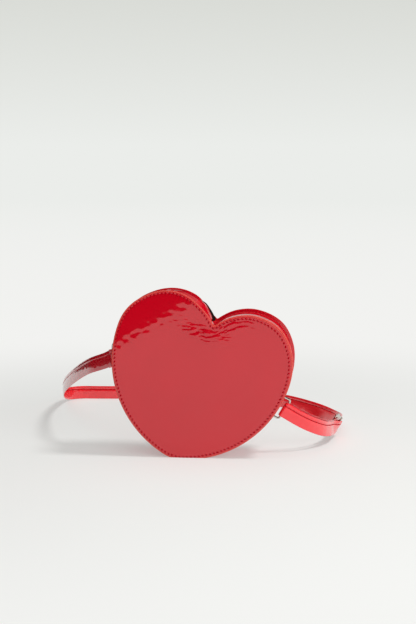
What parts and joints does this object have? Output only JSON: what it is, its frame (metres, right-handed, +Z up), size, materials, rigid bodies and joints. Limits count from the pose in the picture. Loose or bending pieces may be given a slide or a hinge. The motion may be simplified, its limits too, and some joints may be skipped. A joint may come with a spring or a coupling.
{
  "type": "heart shaped purse",
  "caption": "Heart-shaped patent shoulder purse with a zip round one lobe, side rings and an adjustable strap lying behind it.",
  "frame": {"origin": "on the floor under the middle of the bag's box, strap left out", "axes": "+X to the right across the heart, +Y from the front panel to the back panel, +Z up; the bag stands leaned over to the right, on its tip"},
  "size_m": [0.3638, 0.355, 0.1825],
  "materials": {
    "patent": "high gloss patent sheet on a cloth backing",
    "board": "plain stiffening board",
    "lining": "thin plain-woven lining",
    "zip_tape": "woven zip tape",
    "zip_nylon": "moulded zip chain",
    "plated_metal": "bright silver plating"
  },
  "bodies": {
    "bag": {"front_panel": "patent", "back_panel": "patent", "gusset_band": "patent", "zip_strip_front": "patent", "zip_strip_back": "patent", "ring_tab_left": "patent", "ring_tab_right": "patent", "strap_left": "patent", "strap_right": "patent", "front_board": "board", "back_board": "board", "front_lining": "lining", "back_lining": "lining", "gusset_lining": "lining", "zip_tape_front": "zip_tape", "zip_tape_back": "zip_tape", "zip_teeth_front": "zip_nylon", "zip_teeth_back": "zip_nylon", "zip_top_stops": "zip_nylon", "zip_bottom_stop": "zip_nylon"},
    "zip_slider": {"zip_slider": "plated_metal"},
    "zip_pull": {"zip_pull": "plated_metal"},
    "left_ring": {"strap_ring_left": "plated_metal", "strap_end_left": "patent"},
    "right_ring": {"strap_ring_right": "plated_metal", "strap_loop_back": "patent", "strap_loop_front": "patent"},
    "adjuster": {"strap_adjuster": "plated_metal", "strap_tail_loop": "patent"}
  },
  "joints": [
    {"name": "zip_slide", "type": "hinge", "parent": "bag", "child": "zip_slider", "pos_m": [-0.03662, 0, 0.12753], "axis": [0, 1, 0], "range_deg": [0, 110], "deforming": ["zip_teeth_front", "zip_teeth_back"]},
    {"name": "pull_swing", "type": "hinge", "parent": "zip_slider", "child": "zip_pull", "pos_m": [-0.08235, 0, 0.1568], "axis": [0, 1, 0], "range_deg": [0, 170]},
    {"name": "left_ring_swing", "type": "hinge", "parent": "bag", "child": "left_ring", "pos_m": [-0.09296, 0, 0.10643], "axis": [0.0085, 0, 1], "range_deg": [-20, 120], "deforming": ["strap_left"]},
    {"name": "right_ring_swing", "type": "hinge", "parent": "bag", "child": "right_ring", "pos_m": [0.08215, 0, 0.05423], "axis": [0.5404, 0, 0.8414], "range_deg": [-90, 50], "deforming": ["strap_right"]},
    {"name": "adjuster_slide", "type": "slide", "parent": "right_ring", "child": "adjuster", "axis": [0.1749, 0.9781, -0.1124], "range_m": [-0.015, 0.015], "deforming": ["strap_loop_front"]}
  ]
}
